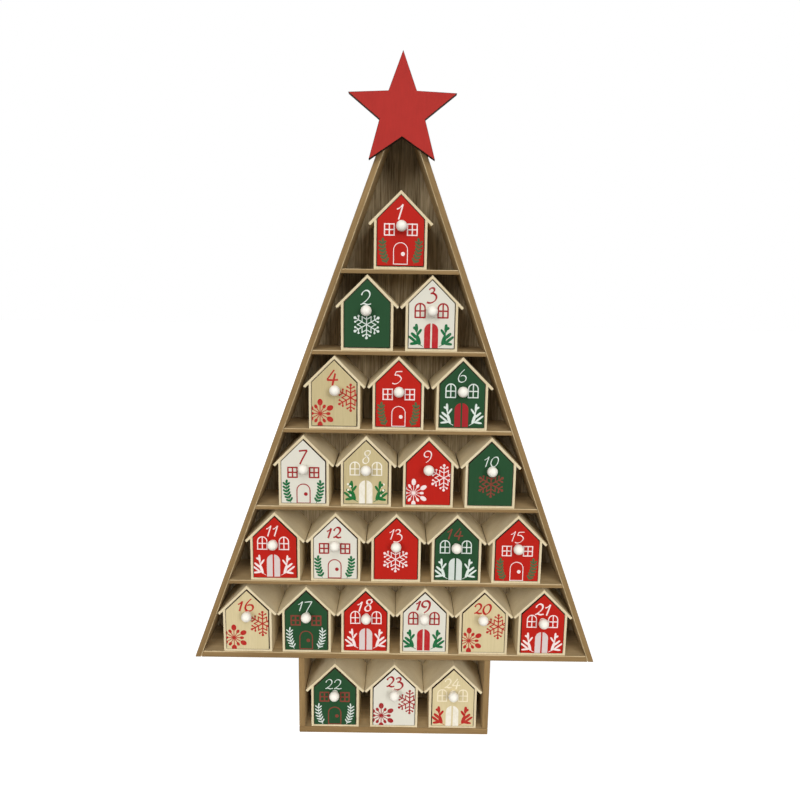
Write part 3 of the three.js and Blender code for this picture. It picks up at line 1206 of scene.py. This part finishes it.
# How each ink looks over each ground: its colour, and how much of the ground shows in its thin spots
INK_OVER = {
    ("white", "red"): (srgb(244, 229, 225), 0.1),
    ("white", "green"): (srgb(222, 229, 221), 0.08),
    ("solid_white", "red"): (srgb(218, 204, 199), 0.06),
    ("solid_white", "green"): (srgb(212, 218, 210), 0.05),
    ("white", "natural"): (srgb(240, 234, 219), 0.3),
    ("faint_white", "natural"): (srgb(238, 226, 198), 0.3),
    ("red", "white"): (srgb(156, 30, 34), 0.05),
    ("solid_red", "white"): (srgb(180, 36, 40), 0.03),
    ("solid_red", "green"): (srgb(160, 36, 40), 0.04),
    ("red", "green"): (srgb(134, 61, 49), 0.22),
    ("red", "natural"): (srgb(178, 38, 34), 0.05),
    ("green", "red"): (srgb(68, 100, 64), 0.12),
    ("green", "white"): (srgb(18, 100, 55), 0.04),
    ("green", "natural"): (srgb(20, 104, 48), 0.05),
}
INKS = {
    key: print_ink(f"{key[0]}_ink_on_{key[1]}", colour, GROUND[key[1]], thinness)
    for key, (colour, thinness) in INK_OVER.items()
}


def discard(piece):
    mesh = piece.data
    bpy.data.objects.remove(piece)
    bpy.data.meshes.remove(mesh)


def print_door(door, motifs, foot):
    """The printed number and motifs of one door, as one thin piece for each ink."""
    ground, number_ink, parts = DESIGNS[SAME_AS.get(door, door)]
    by_ink = {number_ink: [draw_number(door, number_ink)]}
    across, upward = PRINT_SHIFTS[door]
    shift = Vector((across, 0, upward)) * MM
    for kind, ink in parts:
        by_ink.setdefault(ink, []).append(copy_to(motifs[(kind, ink)], kind, shift))
    for ink, pieces in by_ink.items():
        printed = give_thickness(trim_to_front(join(pieces, f"print_{ink}_{door:02d}")))
        printed.data.transform(Matrix.Translation(foot + Vector((0, FACE_Y, 0))))
        plain_ink = ink.split("_")[-1]
        finish_piece(printed, [INKS[(ink, ground)]], f"drawer_{door:02d}", f"print_{plain_ink}")


def dress_doors():
    houses = {"tree": build_house("house_01"), "base": build_house("house_22")}
    front = build_front()
    tray = build_tray()
    knob = build_knob()
    printed = sorted({part for design in DESIGNS.values() for part in design[2]})
    motifs = {part: build_motif(*part) for part in printed}
    for door in DOORS:
        tag = f"{door:02d}"
        ground = DESIGNS[SAME_AS.get(door, door)][0]
        low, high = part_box(f"house_{tag}")
        foot = Vector(((low.x + high.x) / 2, 0, low.z))
        drawer = f"drawer_{tag}"
        sleeve = copy_to(houses["base" if door in BASE_DOORS else "tree"], f"house_sleeve_{tag}", foot)
        finish_piece(sleeve, [HOUSE_WOOD], "case", "house_ply", f"house_{tag}")
        foot.x += DRAWER_SHIFTS.get(door, 0) * MM
        face = copy_to(front, f"drawer_front_{tag}", foot)
        finish = FRONT_FINISH["dark_natural" if door in DARK_NATURAL_DOORS else ground]
        finish_piece(face, [finish, SCORCHED, TRAY_WOOD], drawer, f"drawer_{ground}", drawer)
        paint_front_only(face)
        finish_piece(copy_to(tray, f"drawer_tray_{tag}", foot), [TRAY_WOOD], drawer, "tray_ply", drawer)
        ball = copy_to(knob, f"knob_{tag}", knob_place(drawer))
        finish_piece(ball, [KNOB_PAINT], drawer, "knob_white", drawer)
        print_door(door, motifs, foot)
    for template in [*houses.values(), front, tray, knob, *motifs.values()]:
        discard(template)


# Studio: soft lights from the left, the right and straight in front, and an even fill
# Each sun has its azimuth from straight in front, its elevation and its strength

FILL = 0.1
SUNS = {
    "left_light": (math.radians(-27), math.radians(20), 1.26),
    "right_light": (math.radians(27), math.radians(20), 1.26),
    "front_light": (0, math.radians(46), 0.6),
}
SUN_SOFTNESS = math.radians(28)
FLOOR_SIZE = 12
FLOOR_GREY = (0.5, 0.5, 0.5, 1)
FLOOR_ROUGHNESS = 0.9
FLOOR_GLOW = 0.9
PURE_WHITE = (1, 1, 1, 1)


def seen_as_background(nodes):
    """1 for the rays that show a background, so that it looks white without lighting the object."""
    path = nodes.add("ShaderNodeLightPath")
    shown = nodes.math("MAXIMUM", path.outputs["Is Camera Ray"], path.outputs["Is Glossy Ray"])
    return nodes.math("MAXIMUM", shown, path.outputs["Is Transmission Ray"])


def build_stage():
    deselect_all()
    bpy.ops.mesh.primitive_plane_add(size=FLOOR_SIZE, location=(0, 0, 0))
    floor = rename(bpy.context.object, "floor")
    material = bpy.data.materials.new("floor_paper")
    material.use_nodes = True
    nodes = Nodes(material.node_tree)
    shader = material.node_tree.nodes["Principled BSDF"]
    shader.inputs["Base Color"].default_value = FLOOR_GREY
    shader.inputs["Roughness"].default_value = FLOOR_ROUGHNESS
    shader.inputs["Emission Color"].default_value = PURE_WHITE
    glow = nodes.math("MULTIPLY", seen_as_background(nodes), FLOOR_GLOW)
    nodes.feed(shader.inputs["Emission Strength"], glow)
    floor.data.materials.append(material)


def build_world():
    world = bpy.data.worlds.new("studio")
    bpy.context.scene.world = world
    world.use_nodes = True
    nodes = Nodes(world.node_tree)
    background = world.node_tree.nodes["Background"]
    strength = nodes.spread(seen_as_background(nodes), 0, 1, FILL, 1.0)
    background.inputs["Color"].default_value = PURE_WHITE
    nodes.feed(background.inputs["Strength"], strength)


def add_sun(name, azimuth, elevation, strength):
    lamp = bpy.data.lights.new(name, "SUN")
    lamp.energy = strength
    lamp.angle = SUN_SOFTNESS
    holder = bpy.data.objects.new(name, lamp)
    bpy.context.scene.collection.objects.link(holder)
    level = math.cos(elevation)
    toward = Vector((math.sin(azimuth) * level, -math.cos(azimuth) * level, math.sin(elevation)))
    holder.location = toward
    holder.rotation_euler = (-toward).to_track_quat("-Z", "Y").to_euler()


def build_lights():
    for name, settings in SUNS.items():
        add_sun(name, *settings)


def build_camera():
    across = Vector((math.cos(CAMERA_YAW), -math.sin(CAMERA_YAW), 0))
    level = Vector((math.sin(CAMERA_YAW), math.cos(CAMERA_YAW), 0))
    up = level * math.sin(CAMERA_DOWN) + Vector((0, 0, math.cos(CAMERA_DOWN)))
    ahead = level * math.cos(CAMERA_DOWN) - Vector((0, 0, math.sin(CAMERA_DOWN)))
    right = across * math.cos(CAMERA_ROLL) + up * math.sin(CAMERA_ROLL)
    top = up * math.cos(CAMERA_ROLL) - across * math.sin(CAMERA_ROLL)
    lens = bpy.data.cameras.new("camera")
    lens.sensor_width = SENSOR
    lens.lens = LENS
    camera = bpy.data.objects.new("camera", lens)
    bpy.context.scene.collection.objects.link(camera)
    turn = Matrix((right, top, -ahead)).transposed().to_4x4()
    camera.matrix_world = Matrix.Translation(CAMERA_PLACE) @ turn
    bpy.context.scene.camera = camera


build_camera()
build_world()
build_lights()
build_stage()
dress_cabinet()
dress_base()
dress_star()
dress_doors()
bpy.context.scene.view_settings.view_transform = "Standard"
